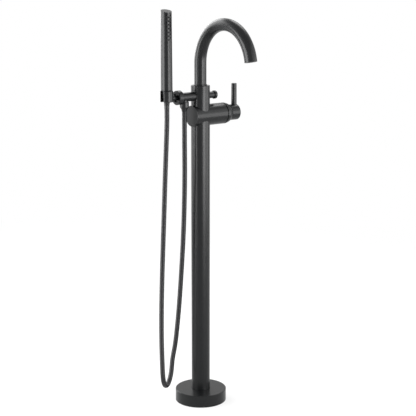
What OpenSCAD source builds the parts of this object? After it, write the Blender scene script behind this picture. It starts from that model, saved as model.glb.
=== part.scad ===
// Free-standing tub filler: floor riser, horizontal single-lever mixer, swivel gooseneck spout,
// pull diverter and stick hand shower on a ribbed hose.
// Millimetres. Origin on the floor at the riser's axis, +Z up, spout towards -Y, lever at +X,
// hand shower at -X.

/* [Floor flange and base] */
// Outer diameter of the floor flange cover
flange_d = 141; // [134:1:170]
// Height of the floor flange cover
flange_h = 33; // [31:1:45]
// Wall of the floor flange cover
flange_wall = 2.5; // [1.5:0.5:4]
// Chamfer on the cover's top edge
flange_chamfer = 1.2; // [0.4:0.2:2]
// Gap between the base plate and the cover's wall
base_gap = 8; // [2:0.5:9]
// Thickness of the base plate
base_t = 8; // [5:0.5:10]
// Thickness of the rubber pad under the base plate
pad_t = 1.5; // [1:0.5:3]
// Bolt circle of the floor anchors
anchor_pcd = 100; // [92:1:106]
// Diameter of the anchor holes
anchor_hole_d = 9; // [6:0.5:11]

/* [Riser] */
// Outer diameter of the riser and of the collar above the valve
riser_d = 50.8; // [48:0.2:54]
// Wall of the riser tube
riser_wall = 2; // [1.2:0.2:2.4]
// Outer diameter of each supply tube inside the riser
supply_d = 12; // [10:0.5:13]
// Wall of each supply tube
supply_wall = 1.4; // [0.8:0.1:2]
// Distance between the two supply tubes
supply_pitch = 23; // [22:0.5:25]

/* [Mixing valve] */
// Height of the valve's axis above the floor
valve_z = 802.7; // [600:1:900]
// Outer diameter of the valve barrel
barrel_d = 57; // [55:0.5:60]
// Reach of the barrel's plain end from the riser's axis
barrel_left = 29.8; // [28:0.2:34]
// Reach of the barrel's cartridge end from the riser's axis
barrel_right = 75.2; // [75:0.2:78]
// Thickness of the end cap's disc
end_cap_t = 5; // [3:0.5:6]
// Bore of the cartridge chamber
chamber_d = 40; // [39:0.2:42]
// Wall of the dome over the cartridge
dome_wall = 2.2; // [1.5:0.1:2.6]
// Gap between the dome and the handle's hollow
dome_gap = 0.4; // [0.3:0.1:0.6]

/* [Lever handle] */
// Outer diameter of the handle's hub
hub_d = 42.8; // [40:0.2:44]
// Distance from the riser's axis to the hub's end face
hub_end = 123; // [120:0.5:128]
// Distance from the riser's axis to the lever's axis
lever_x = 115.2; // [113:0.2:117]
// Diameter of the lever at its foot
lever_foot_d = 15.2; // [12:0.2:15.4]
// Diameter of the lever at its top
lever_top_d = 14.4; // [11:0.2:15]
// Height of the lever's top above the valve's axis
lever_h = 78.4; // [50:1:110]
// Diameter of the cartridge's stem
stem_d = 7; // [6:0.5:8]

/* [Collar and spout] */
// Height of the collar's top above the valve's axis
collar_h = 80.3; // [78:0.1:90]
// Outer diameter of the spout tube
spout_d = 32.5; // [30:0.5:33]
// Wall of the spout tube
spout_wall = 1.8; // [1:0.1:2.5]
// Radius of the gooseneck at the tube's axis
spout_r = 104.5; // [80:0.5:125]
// Height of the gooseneck's centre above the valve's axis
spout_rise = 140.2; // [110:0.5:200]
// Angle that the gooseneck turns through
spout_turn = 168.2; // [150:0.2:180]
// Length of the aerator's shell at the spout's end
aerator_l = 6; // [4:0.5:12]
// Outer diameter of the trim ring at the spout's foot
foot_ring_d = 35.2; // [34:0.2:40]
// Height of the trim ring at the spout's foot
foot_ring_h = 3; // [2:0.2:5]

/* [Diverter] */
// Height of the arm's and the diverter's axis above the valve's axis
arm_h = 52.3; // [51:0.1:55]
// Outer diameter of the diverter's bonnet
bonnet_d = 17.8; // [15:0.2:18]
// Reach of the bonnet from the riser's axis
bonnet_end = 42; // [40:0.5:46]
// Diameter of the pull knob
knob_d = 22.2; // [19:0.2:26]
// Length of the pull knob
knob_l = 8.2; // [7:0.2:16]
// Diameter of the diverter's spindle
spindle_d = 6; // [5:0.5:7]
// Travel of the pull knob
knob_travel = 8; // [5:0.5:9]

/* [Arm and cradle] */
// Outer diameter of the hand shower's arm
arm_d = 24; // [22:0.5:26]
// Distance from the riser's axis to the knuckle's near face
knuckle_x = 67; // [66:0.5:72]
// Outer diameter of the knuckle
knuckle_d = 38; // [34:0.5:42]
// Length of the knuckle
knuckle_l = 14; // [12:0.5:15]
// Distance from the riser's axis to the hand shower's axis
wand_x = 110.5; // [106:0.5:116]
// Outer diameter of the cradle
cradle_d = 33.6; // [32.4:0.2:36]
// Height of the cradle's underside above the arm's axis
cradle_low = -8.5; // [-9:0.5:-7.5]
// Height of the cradle
cradle_h = 30; // [26:0.5:34]
// Width of the slot that lets the hose into the cradle
cradle_slot = 14.2; // [13.8:0.2:15]
// Distance from the riser's axis to the hose outlet
outlet_x = 53.5; // [50:0.5:54]
// Outer diameter of the hose's nut at the outlet
outlet_nut_d = 24.2; // [21:0.2:25]

/* [Hand shower] */
// Diameter of the hand shower at its foot
wand_foot_d = 30.6; // [29:0.2:32]
// Diameter of the hand shower at its head
wand_head_d = 28.8; // [27:0.2:30.6]
// Length of the hand shower above the cradle, to the middle of its slanted top
wand_l = 204.2; // [180:0.2:240]
// Wall of the hand shower
wand_wall = 2; // [1.6:0.2:2.4]
// Distance from the hand shower's top down to the upper edge of its spray field
field_drop = 7.6; // [7.4:0.1:40]
// Slant of the hand shower's top, down towards the spray side
wand_slant = 14; // [0:0.5:16]
// Turn of the hand shower in its cradle, from facing straight ahead
wand_turn = -10; // [-30:1:30]
// Number of rows of spray nozzles, one nozzle and two in turn
nozzle_rows = 14; // [4:1:16]
// Distance between rows of spray nozzles
nozzle_pitch = 4.8; // [4.4:0.1:5]

/* [Hose] */
// Outer diameter of the hose
hose_d = 13.4; // [12.4:0.2:13.6]
// Bore of the hose
hose_bore = 8.6; // [7:0.2:10]
// Depth of the hose's ribs
rib_depth = 0.7; // [0.3:0.1:1]
// Number of ribs along the hose
rib_n = 190; // [60:1:200]

/* [Hidden] */
$fn = 64;

black = [0.13, 0.13, 0.14];
brass = [0.78, 0.62, 0.32];
steel = [0.72, 0.73, 0.75];
rubber = [0.06, 0.06, 0.06];
plastic = [0.88, 0.88, 0.86];
ceramic = [0.95, 0.94, 0.9];

// Clearances: a running fit, a seated fit and a plain gap
run_fit = 0.06;
seat_fit = 0.05;
air = 0.3;

riser_r = riser_d / 2;
barrel_r = barrel_d / 2;
chamber_r = chamber_d / 2;
arm_z = valve_z + arm_h;
arm_r = arm_d / 2;
collar_z = valve_z + collar_h;
supply_y = supply_pitch / 2;
supply_r = supply_d / 2;

// Base: the riser stands on the plate inside a socket ring
base_d = flange_d - 2 * flange_wall - 2 * base_gap;
plate_z = pad_t + base_t;
base_opening_r = 22.5;
socket_wall = 4.5;
socket_r = riser_r + seat_fit;
socket_top = 21;
base_screw_r = 2.5;
base_screw_z = 15;
seal_r = 1.5;
seal_z = 27;
boss_low = 22;

// Supply: connector below, tube, union nut at the valve
thread_r = 8.3;
connector_low = 0.5;
connector_hex_z = 12;
connector_top = 24;
hex_r = 10;
tube_low = connector_hex_z + 2;
spigot_l = 50;
spigot_z = valve_z - spigot_l;
spigot_r = riser_r - riser_wall - seat_fit;
union_depth = 8;
union_r = 8.4;
union_nut_l = 11;
union_seal_l = 1.6;

// Water channels of the valve body, and the three ports of the cartridge
channel_r = 4.6;
port_y = 9;
port_hole_r = 3.8;
inlet_z = valve_z - 6;
mixed_z = valve_z + 10.5;
chamber_x = 38;
tower_r = 14;
tower_low = valve_z + 19;
cap_bore_r = 18;
cap_bore_x = 12;

// Cartridge: its base plate carries three ports, its bore holds the discs and the carrier
port_seal_l = 1.8;
housing_x = chamber_x + port_seal_l;
housing_base = 6;
housing_end = 70;
housing_wall = 3.3;
housing_r = chamber_r - 0.1;
disc_r = housing_r - housing_wall - 0.2;
disc_t = 3;
nut_t = barrel_right - 0.1 - housing_end;
nose_r = 10.5;
pivot_x = barrel_right + 0.8;
nose_end = pivot_x + 6;
pin_r = 2;
stem_r = stem_d / 2;
stem_slot = stem_d + 1.2;
tail_r = 3;
tail_x = housing_x + housing_base + 2 * disc_t + 6;

// Handle: its hollow is a ball about the pivot, so it glides over the dome
dome_r = barrel_r;
dome_open = 27;
hollow_r = dome_r + dome_gap;
groove_l = 2.6;
groove_depth = 1.6;
hub_r = hub_d / 2;
hub_start = pivot_x + sqrt(hollow_r * hollow_r - hub_r * hub_r);
hub_round = 1.6;
stem_end = hub_end - 6;
spigot_pin_r = 3;
spigot_pin_low = 9;
hub_screw_x = stem_end - 6;

// Collar and spout joint
collar_nut_t = 3.1;
tail_top = collar_z - collar_nut_t - 1.8;
tail_low = collar_z - 19.5;
tail_bore_r = 20.2;
tail_ring_r = tail_bore_r - run_fit;
tail_wire_r = 0.95;
tail_groove_r = tail_bore_r - 2 * tail_wire_r - 0.05;
spout_out_r = spout_d / 2;
spout_in_r = spout_out_r - spout_wall;
tube_low_z = tail_low + 9.5;
stop_z = tail_top - 3;
stop_r = 2;
stop_depth = 2.2;
spout_limit = 60;
stop_span = spout_limit + 7;
arch_z = valve_z + spout_rise;
aerator_sleeve_l = 4;

// Diverter: a disc on the spindle closes the arm's port until the knob is pulled
port_seat_x = 15;
port_r = 5.6;
port_pocket_r = 8.6;
arm_bore_r = 5.5;
seal_t = 2.4;
spindle_r = spindle_d / 2;
bonnet_r = bonnet_d / 2;
bonnet_thread_r = 7;
bonnet_in = 14;
spring_room_r = 6.2;
bonnet_wall = 4;
spring_collar_x = 17;
spring_collar_l = 3;
spring_wire = 1.2;
spring_turns = 6;
knob_gap = 1;
knob_x = bonnet_end + knob_gap;
knob_r = knob_d / 2;

// Arm, outlet and knuckle
knuckle_r = knuckle_d / 2;
knuckle_left = knuckle_x + knuckle_l;
knuckle_floor = 5;
recess_r = arm_r;
neck_r = 7;
flange_ring = 3.6;
nipple_r = 8.9;
nipple_low = arm_z - 23;
outlet_nut_r = outlet_nut_d / 2;
outlet_nut_top = arm_z - arm_r - 0.2;
outlet_nut_cyl = arm_z - 26;
hose_out_z = 817;

// Cradle and the hose's nut on the hand shower: both tapers share one slope
cradle_r = cradle_d / 2;
cradle_z = arm_z + cradle_low;
cradle_top = cradle_z + cradle_h;
liner_t = 1;
nut_top_r = 12.3;
nut_foot_r = 8;
hose_in_z = 828;
wand_z = cradle_top + 0.7;
wand_thread_r = 9.2;
wand_thread_l = 8.7;
wand_top = wand_z + wand_l;
wand_foot_r = wand_foot_d / 2;
wand_head_r = wand_head_d / 2;
cap_t = 2.2;
nozzle_r = 2.05;
nozzle_proud = 0.8;
nozzle_step = 22;
field_h = nozzle_pitch * (nozzle_rows - 1) + 2 * nozzle_r + 2.4;
field_z = wand_top - field_drop - field_h / 2;
field_half = 2 * nozzle_step - 4;

// The hose's route, from the outlet's nut down, round its loop and up to the hand shower's nut
hose_r = hose_d / 2;
route = [
    [-53.5, 0, 817], [-53.5, 0, 802], [-53.5, 0, 786], [-53, 1, 740], [-51.5, 2, 660],
    [-51, 5, 570], [-51, 10.5, 470], [-53, 18, 370], [-54.5, 26, 280], [-54.5, 35, 220],
    [-53.8, 42.6, 180], [-54.5, 49.5, 145], [-60, 53.3, 114.5], [-65.5, 48.2, 86.3],
    [-81.4, 35, 65.6], [-103, 17, 58], [-124.6, -1.2, 65.6], [-140, -15, 86.3],
    [-145.7, -19.8, 114.5], [-146.3, -19.5, 142], [-145.3, -16.4, 175], [-141.7, -10.3, 225],
    [-137, -5, 290], [-132, -1.5, 370], [-127, -0.5, 460], [-121.5, 0.5, 560],
    [-116.8, 0.8, 660], [-112.3, 0.5, 745], [-110.5, 0, 796], [-110.5, 0, 812],
    [-110.5, 0, 828]
];
loop_normal = [-0.64, 0.77, 0];
route_n = len(route);
padded = concat(
    [2 * route[0] - route[1]], route, [2 * route[route_n - 1] - route[route_n - 2]]
);
function blend4(a, b, c, d, t) =
    (pow(1 - t, 3) * a + (3 * pow(t, 3) - 6 * t * t + 4) * b
        + (-3 * pow(t, 3) + 3 * t * t + 3 * t + 1) * c + pow(t, 3) * d) / 6;
function curve_at(u) =
    let (i = min(floor(u), route_n - 2), t = u - i)
    blend4(padded[i], padded[i + 1], padded[i + 2], padded[i + 3], t);
route_steps = 16 * (route_n - 1);
fine = [for (i = [0:route_steps]) curve_at(i * (route_n - 1) / route_steps)];
run_length = [
    for (i = 0, s = 0; i <= route_steps; i = i + 1, s = s + (i <= route_steps
        ? norm(fine[i] - fine[i - 1]) : 0)) s
];
hose_length = run_length[route_steps];
length_to_u = [
    for (i = [0:route_steps]) [run_length[i], i * (route_n - 1) / route_steps]
];
function on_hose(s) = curve_at(lookup(min(max(s, 0), hose_length), length_to_u));
function unit(v) = v / norm(v);
function ring_at(s, r, sides) =
    let (
        step = 0.4,
        t = unit(on_hose(s + step) - on_hose(s - step)),
        a = unit(cross(t, loop_normal)),
        b = cross(t, a),
        p = on_hose(s)
    )
    [for (k = [0:sides - 1]) p + r * (cos(360 * k / sides) * a + sin(360 * k / sides) * b)];
gap_points = [for (s = [0:12:hose_length]) on_hose(s)];
self_gap = min([
    for (i = [0:len(gap_points) - 1], j = [i + 8:1:len(gap_points) - 1])
        norm(gap_points[i] - gap_points[j]) - hose_d
]);
echo(hose_length = hose_length, self_gap = self_gap);

// A solid turned about the X axis, from points [radius, x]
module turned_x(points) {
    rotate([0, 90, 0]) rotate_extrude() polygon(points);
}

// A solid turned about the Z axis, from points [radius, z]
module turned_z(points) {
    rotate_extrude() polygon(points);
}

// A plain rod along X from x0 to x1
module rod_x(r, x0, x1) {
    translate([x0, 0, 0]) rotate([0, 90, 0]) cylinder(r = r, h = x1 - x0);
}

// A plain rod along Z from z0 to z1
module rod_z(r, z0, z1) {
    translate([0, 0, z0]) cylinder(r = r, h = z1 - z0);
}

// A ring along X
module ring_x(r_out, r_in, x0, x1) {
    difference() {
        rod_x(r_out, x0, x1);
        rod_x(r_in, x0 - 1, x1 + 1);
    }
}

// A ring along Z
module ring_z(r_out, r_in, z0, z1) {
    difference() {
        rod_z(r_out, z0, z1);
        rod_z(r_in, z0 - 1, z1 + 1);
    }
}

// A round seal about Z, from the radius of its bore
module seal_ring(bore_r, wire_r) {
    rotate_extrude() translate([bore_r + wire_r, 0]) circle(r = wire_r, $fn = 24);
}

module on_valve() {
    translate([0, 0, valve_z]) children();
}

module on_arm() {
    translate([0, 0, arm_z]) children();
}

module on_wand() {
    translate([-wand_x, 0, 0]) children();
}

module on_outlet() {
    translate([-outlet_x, 0, 0]) children();
}

module at_supplies() {
    for (side = [-1, 1]) translate([0, side * supply_y, 0]) children();
}

module at_anchors() {
    for (i = [0:3]) rotate(45 + 90 * i) translate([anchor_pcd / 2, 0, 0]) children();
}

// The frame at the gooseneck's end: local +Z is the way the water leaves
module at_spout_end() {
    translate([0, -spout_r, arch_z]) rotate([spout_turn, 0, 0]) translate([0, spout_r, 0])
        children();
}

// Base

module floor_pad() {
    color(rubber) difference() {
        ring_z(base_d / 2, base_opening_r, 0, pad_t);
        at_anchors() rod_z(anchor_hole_d / 2, -1, pad_t + 1);
    }
}

module base_plate() {
    color(steel) difference() {
        union() {
            ring_z(base_d / 2, base_opening_r, pad_t, plate_z);
            ring_z(socket_r + socket_wall, socket_r, plate_z - 1, socket_top);
        }
        at_anchors() rod_z(anchor_hole_d / 2, 0, plate_z + 1);
        for (i = [0:2]) rotate(30 + 120 * i) translate([0, 0, base_screw_z])
            rod_x(base_screw_r, riser_r - 1, socket_r + socket_wall + 1);
    }
}

module base_set_screws() {
    color(steel) for (i = [0:2]) rotate(30 + 120 * i) translate([0, 0, base_screw_z])
        difference() {
            rod_x(base_screw_r, riser_r, socket_r + socket_wall + 0.5);
            translate([socket_r + socket_wall - 1.5, 0, 0]) rotate([0, 90, 0])
                cylinder(r = 1.4, h = 3, $fn = 6);
        }
}

module floor_flange() {
    r = flange_d / 2;
    in_r = r - flange_wall;
    hole_r = riser_r + 0.4;
    boss_r = hole_r + 5.2;
    top_in = flange_h - flange_wall;
    color(black) difference() {
        turned_z([
            [in_r, 0], [r, 0], [r, flange_h - flange_chamfer],
            [r - flange_chamfer, flange_h], [hole_r + 0.6, flange_h],
            [hole_r, flange_h - 0.6], [hole_r, boss_low], [boss_r, boss_low],
            [boss_r, top_in], [in_r, top_in]
        ]);
        ring_z(riser_r + 2 * seal_r + 0.05, riser_r - 1, seal_z - seal_r, seal_z + seal_r);
    }
}

module flange_seal() {
    color(rubber) translate([0, 0, seal_z]) seal_ring(riser_r + 0.02, seal_r);
}

// Riser and supplies

module riser_tube() {
    color(black) difference() {
        ring_z(riser_r, riser_r - riser_wall, plate_z, valve_z);
        on_valve() rod_x(barrel_r + seat_fit, -riser_r - 5, riser_r + 5);
    }
}

module supply_tube(side) {
    translate([0, side * supply_y, 0])
        ring_z(supply_r, supply_r - supply_wall, tube_low, spigot_z + union_depth - 0.5);
}

module cold_supply_tube() {
    color(steel) supply_tube(1);
}

module hot_supply_tube() {
    color(steel) supply_tube(-1);
}

module connector(side) {
    translate([0, side * supply_y, 0]) difference() {
        union() {
            rod_z(thread_r, connector_low, connector_hex_z);
            translate([0, 0, connector_hex_z])
                cylinder(r = hex_r, h = connector_top - connector_hex_z, $fn = 6);
        }
        rod_z(supply_r + seat_fit, tube_low, connector_top + 1);
        rod_z(supply_r - supply_wall, 0, tube_low + 1);
    }
}

module cold_connector() {
    color(brass) connector(1);
}

module hot_connector() {
    color(brass) connector(-1);
}

module inlet_nuts() {
    color(brass) at_supplies() difference() {
        union() {
            translate([0, 0, spigot_z - union_nut_l])
                cylinder(r = hex_r, h = union_nut_l, $fn = 6);
            rod_z(union_r, spigot_z - 1, spigot_z + union_depth - 0.5 - union_seal_l);
        }
        rod_z(supply_r + seat_fit, spigot_z - union_nut_l - 1, spigot_z + union_depth);
    }
}

module inlet_seals() {
    color(rubber) at_supplies() ring_z(
        union_r, supply_r + seat_fit,
        spigot_z + union_depth - 0.5 - union_seal_l, spigot_z + union_depth - 0.5
    );
}

// Valve body: barrel, collar and spigot in one casting, with its water channels

module valve_body() {
    face = end_cap_t - barrel_left;
    color(black) difference() {
        union() {
            on_valve() rod_x(barrel_r, face, barrel_right);
            rod_z(riser_r, valve_z, collar_z - collar_nut_t);
            rod_z(spigot_r, spigot_z, valve_z);
        }
        on_valve() rod_x(barrel_r + seat_fit, face - end_cap_t, face);
        on_valve() rod_x(chamber_r, chamber_x, barrel_right + 1);
        on_valve() ring_x(
            barrel_r + 1, barrel_r - groove_depth, barrel_right - groove_l, barrel_right + 1
        );
        on_valve() rod_x(cap_bore_r, -barrel_left, -cap_bore_x);
        at_supplies() {
            rod_z(union_r + seat_fit, spigot_z - 1, spigot_z + union_depth);
            rod_z(channel_r, spigot_z, inlet_z + channel_r);
        }
        for (side = [-1, 1]) translate([0, side * port_y, inlet_z])
            rod_x(channel_r, -1, chamber_x + 1);
        translate([0, 0, mixed_z]) rod_x(channel_r, 0, chamber_x + 1);
        rod_z(channel_r, mixed_z - channel_r, tower_low + 1);
        rod_z(tower_r, tower_low, collar_z);
        rod_z(tail_bore_r, tail_low - 0.3, collar_z);
        on_arm() rod_x(port_pocket_r, -port_seat_x, 0);
        on_arm() rod_x(port_r, -riser_r - 1, 0);
        on_arm() rod_x(bonnet_thread_r + seat_fit, 0, riser_r + 1);
        translate([0, 0, stop_z]) rotate(90) rod_x(stop_r + seat_fit, tail_ring_r - 4, riser_r + 1);
    }
}

module end_cap() {
    face = -barrel_left;
    inner = end_cap_t - barrel_left;
    edge = 1.6;
    plug_r = cap_bore_r - 0.1;
    plug_end = -cap_bore_x - 2;
    color(black) on_valve() difference() {
        turned_x([
            [0, face], [barrel_r - edge, face], [barrel_r - 0.47 * edge, face + 0.13 * edge],
            [barrel_r - 0.13 * edge, face + 0.47 * edge], [barrel_r, face + edge],
            [barrel_r, inner], [plug_r, inner], [plug_r, plug_end], [0, plug_end]
        ]);
        ring_x(plug_r + 1, plug_r - 1.9, inner + 4, inner + 6.6);
    }
}

module end_cap_seal() {
    wire_r = 0.95;
    color(rubber) on_valve() translate([end_cap_t - barrel_left + 5.3, 0, 0])
        rotate([0, 90, 0]) seal_ring(cap_bore_r - 2 * wire_r - 0.05, wire_r);
}

// Cartridge

module at_ports() {
    for (side = [-1, 1]) translate([0, side * port_y, inlet_z - valve_z]) children();
    translate([0, 0, mixed_z - valve_z]) children();
}

module cartridge_housing() {
    color(plastic) on_valve() difference() {
        rod_x(housing_r, housing_x, housing_end);
        rod_x(housing_r - housing_wall, housing_x + housing_base, housing_end + 1);
        at_ports() rod_x(port_hole_r, housing_x - 1, housing_x + housing_base + 1);
    }
}

module port_seals() {
    color(rubber) on_valve() at_ports()
        ring_x(channel_r + 1.2, channel_r - 0.4, chamber_x + 0.02, housing_x - 0.02);
}

module fixed_disc() {
    x = housing_x + housing_base;
    color(ceramic) on_valve() difference() {
        rod_x(disc_r, x, x + disc_t);
        at_ports() rod_x(port_hole_r, x - 1, x + disc_t + 1);
    }
}

module turning_disc() {
    x = housing_x + housing_base + disc_t + 0.05;
    color(ceramic) on_valve() difference() {
        rod_x(disc_r - 0.5, x, x + disc_t);
        translate([0, 0, 6]) rod_x(6.6, x - 1, x + disc_t / 2);
    }
}

module cartridge_nut() {
    color(brass) on_valve() ring_x(chamber_r - seat_fit, nose_r + 2, housing_end, housing_end + nut_t);
}

// Half a ball over the cartridge, open at its pole for the stem
module dome_cover() {
    seat = barrel_right + 0.1;
    reveal = 1.2;
    reveal_l = 0.4;
    in_r = dome_r - dome_wall;
    open_r = dome_r * sin(dome_open);
    color(black) on_valve() rotate([0, 90, 0]) rotate_extrude() union() {
        intersection() {
            difference() {
                translate([0, pivot_x]) circle(r = dome_r, $fn = 96);
                translate([0, pivot_x]) circle(r = in_r, $fn = 96);
            }
            translate([open_r, seat + reveal_l]) square(dome_r + 1);
        }
        translate([in_r - 0.8, seat]) square([dome_r - reveal - in_r + 0.8, reveal_l + 1]);
    }
}

// Turns with the handle, and carries the pin that the stem tilts on
module stem_carrier() {
    x = housing_x + housing_base + 2 * disc_t + 0.3;
    shoulder_r = disc_r - 0.2;
    color(plastic) on_valve() difference() {
        turned_x([
            [0, x], [shoulder_r, x], [shoulder_r, housing_end - air],
            [nose_r, housing_end - air], [nose_r, nose_end], [0, nose_end]
        ]);
        translate([x + 2, -stem_slot / 2, -6.5]) cube([nose_end - x, stem_slot, 16]);
        translate([pivot_x - 6, -stem_slot / 2, -nose_r - 1])
            cube([nose_end - pivot_x + 7, stem_slot, 2 * nose_r + 2]);
        translate([pivot_x, 0, 0]) rotate([90, 0, 0])
            cylinder(r = pin_r + 0.02, h = 2 * nose_r + 9, center = true);
    }
}

module stem_pin() {
    color(steel) translate([pivot_x, 0, valve_z]) rotate([90, 0, 0])
        cylinder(r = pin_r, h = 2 * nose_r - 2, center = true);
}

module lever_stem() {
    color(steel) on_valve() difference() {
        union() {
            rod_x(stem_r, pivot_x - 5, stem_end);
            rod_x(tail_r, tail_x, pivot_x - 4);
            translate([tail_x, 0, 0]) sphere(r = tail_r, $fn = 32);
            translate([pivot_x, 0, 0]) rotate([90, 0, 0])
                cylinder(r = 5, h = stem_d, center = true);
        }
        translate([pivot_x, 0, 0]) rotate([90, 0, 0])
            cylinder(r = pin_r + run_fit, h = stem_d + 9, center = true);
    }
}

// Handle

module handle_hub() {
    e = hub_round;
    color(black) on_valve() difference() {
        rotate([0, 90, 0]) rotate_extrude() difference() {
            polygon([
                [0, hub_start - 6], [hub_r, hub_start - 6], [hub_r, hub_end - e],
                [hub_r - 0.13 * e, hub_end - 0.47 * e], [hub_r - 0.47 * e, hub_end - 0.13 * e],
                [hub_r - e, hub_end], [0, hub_end]
            ]);
            translate([0, pivot_x]) circle(r = hollow_r, $fn = 96);
            square([stem_r + seat_fit, stem_end + 0.5]);
        }
        translate([lever_x, 0, 0]) rod_z(spigot_pin_r + seat_fit, spigot_pin_low - 0.5, hub_r + 1);
        translate([hub_screw_x, 0, 0]) rod_z(2.5, -hub_r - 1, 0);
    }
}

module lever_rod() {
    edge = 0.9;
    top_r = lever_top_d / 2;
    foot_r = lever_foot_d / 2;
    foot_z = hub_r - 3;
    color(black) on_valve() translate([lever_x, 0, 0]) union() {
        difference() {
            turned_z([
                [0, foot_z], [foot_r, foot_z], [top_r, lever_h - edge],
                [top_r - 0.3 * edge, lever_h - 0.3 * edge], [top_r - edge, lever_h],
                [0, lever_h]
            ]);
            translate([-lever_x, 0, 0]) rod_x(hub_r + 0.02, hub_start - 5, hub_end + 10);
        }
        rod_z(spigot_pin_r, spigot_pin_low, hub_r + 1);
    }
}

module hub_set_screw() {
    color(steel) on_valve() translate([hub_screw_x, 0, 0]) difference() {
        rod_z(2.45, -hub_r + 5, -stem_r);
        translate([0, 0, -hub_r + 4]) cylinder(r = 1.4, h = 4, $fn = 6);
    }
}

// Collar nut and spout

module collar_nut() {
    bore_r = spout_out_r + run_fit;
    low = collar_z - collar_nut_t;
    color(black) turned_z([
        [bore_r, low], [riser_r, low], [riser_r, collar_z - 0.5], [riser_r - 0.5, collar_z],
        [bore_r, collar_z]
    ]);
}

module spout_washer() {
    color(plastic) ring_z(
        tail_ring_r - 0.1, spout_out_r + 0.1, tail_top + 0.1, collar_z - collar_nut_t - 0.02
    );
}

// Enters the tail's groove from behind and limits how far the spout swings
module stop_screw() {
    color(steel) translate([0, 0, stop_z]) rotate(90) difference() {
        rod_x(stop_r, tail_ring_r - stop_depth + air, riser_r - 0.6);
        translate([riser_r - 2.6, 0, 0]) rotate([0, 90, 0]) cylinder(r = 1.1, h = 3, $fn = 6);
    }
}

module spout_tail() {
    bore_r = spout_in_r - 2;
    color(brass) difference() {
        turned_z([
            [bore_r, tail_low], [tail_ring_r, tail_low], [tail_ring_r, tail_top],
            [spout_out_r + seat_fit, tail_top], [spout_out_r + seat_fit, tube_low_z],
            [bore_r, tube_low_z]
        ]);
        for (z = [tail_low + 1.4, tail_low + 4.9])
            ring_z(tail_ring_r + 1, tail_groove_r, z, z + 2.2);
        translate([0, 0, stop_z - stop_r - 0.1]) rotate(90 - stop_span)
            rotate_extrude(angle = 2 * stop_span)
                translate([tail_ring_r - stop_depth, 0])
                    square([stop_depth + 1, 2 * stop_r + 0.2]);
    }
}

module tail_seals() {
    color(rubber) for (z = [tail_low + 2.5, tail_low + 6]) translate([0, 0, z])
        seal_ring(tail_groove_r + 0.02, tail_wire_r);
}

// Leg and gooseneck with one radius
module spout_run(r, low) {
    rod_z(r, low, arch_z);
    translate([0, -spout_r, arch_z]) rotate([90, 0, 90])
        rotate_extrude(angle = spout_turn) translate([spout_r, 0]) circle(r = r);
}

module spout_tube() {
    color(black) difference() {
        spout_run(spout_out_r, tube_low_z);
        spout_run(spout_in_r, tube_low_z - 1);
        rod_z(spout_in_r, tube_low_z - 2, tube_low_z + 1);
    }
}

module foot_ring() {
    r = foot_ring_d / 2;
    low = collar_z + air;
    bore_r = spout_out_r + 0.02;
    color(black) turned_z([
        [bore_r, low], [r, low], [r, low + foot_ring_h - 0.8], [r - 0.8, low + foot_ring_h],
        [bore_r, low + foot_ring_h]
    ]);
}

module aerator_shell() {
    color(black) at_spout_end() difference() {
        union() {
            rod_z(spout_out_r - 0.3, 0, 1);
            rod_z(spout_out_r, 0.4, aerator_l);
            rod_z(spout_in_r - 2 * seat_fit, -aerator_sleeve_l, 1);
        }
        rod_z(spout_in_r - 1.6, -aerator_sleeve_l - 1, aerator_l + 1);
    }
}

module aerator_insert() {
    r = spout_in_r - 1.65;
    holes = 6;
    color(plastic) at_spout_end() difference() {
        rod_z(r, 0.5 - aerator_sleeve_l, aerator_l - 1.2);
        for (ring = [1:2], i = [0:holes * ring - 1]) rotate(360 * i / (holes * ring))
            translate([r * ring / 2.7, 0, -6]) cylinder(r = 1.5, h = aerator_l + 8, $fn = 16);
        translate([0, 0, -6]) cylinder(r = 1.5, h = aerator_l + 8, $fn = 16);
    }
}

// Diverter

module diverter_bonnet() {
    color(black) on_arm() difference() {
        union() {
            rod_x(bonnet_thread_r, bonnet_in + 0.2, riser_r + 2);
            difference() {
                turned_x([
                    [0, riser_r - 5], [bonnet_r, riser_r - 5], [bonnet_r, bonnet_end - 0.6],
                    [bonnet_r - 0.6, bonnet_end], [0, bonnet_end]
                ]);
                rod_z(riser_r + 0.02, -bonnet_r - 5, bonnet_r + 5);
            }
        }
        rod_x(spring_room_r, 0, bonnet_end - bonnet_wall);
        rod_x(spindle_r + run_fit, 0, bonnet_end + 1);
    }
}

module diverter_spindle() {
    color(brass) on_arm() union() {
        rod_x(spindle_r, seal_t + 0.1 - port_seat_x, knob_x + knob_l - 4.5);
        rod_x(
            port_pocket_r - 0.6, seal_t + 0.1 - port_seat_x, seal_t + 2.1 - port_seat_x
        );
        rod_x(spring_room_r - run_fit, spring_collar_x, spring_collar_x + spring_collar_l);
    }
}

module diverter_seal() {
    color(rubber) on_arm()
        rod_x(port_pocket_r - 0.6, 0.1 - port_seat_x, seal_t + 0.1 - port_seat_x);
}

module diverter_spring() {
    start = spring_collar_x + spring_collar_l + 0.1;
    length = bonnet_end - bonnet_wall - 0.1 - start;
    coil_r = spindle_r + spring_wire / 2 + 1.2;
    wire_r = spring_wire / 2;
    per_turn = 12;
    sides = 6;
    n = spring_turns * per_turn;
    pitch = (length - spring_wire) / spring_turns;
    lead = atan(pitch / (360 * coil_r * PI / 180));
    function coil_ring(i) =
        let (a = 360 * i / per_turn, x = start + wire_r + pitch * i / per_turn,
            out = [0, cos(a), sin(a)],
            side = [cos(lead), sin(a) * sin(lead), -cos(a) * sin(lead)])
        [for (k = [0:sides - 1])
            [x, 0, 0] + coil_r * out
                + wire_r * (cos(360 * k / sides) * out + sin(360 * k / sides) * side)];
    points = [for (i = [0:n]) each coil_ring(i)];
    color(steel) on_arm() polyhedron(
        points = points,
        faces = tube_faces(n, sides, 0)
    );
}

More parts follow.
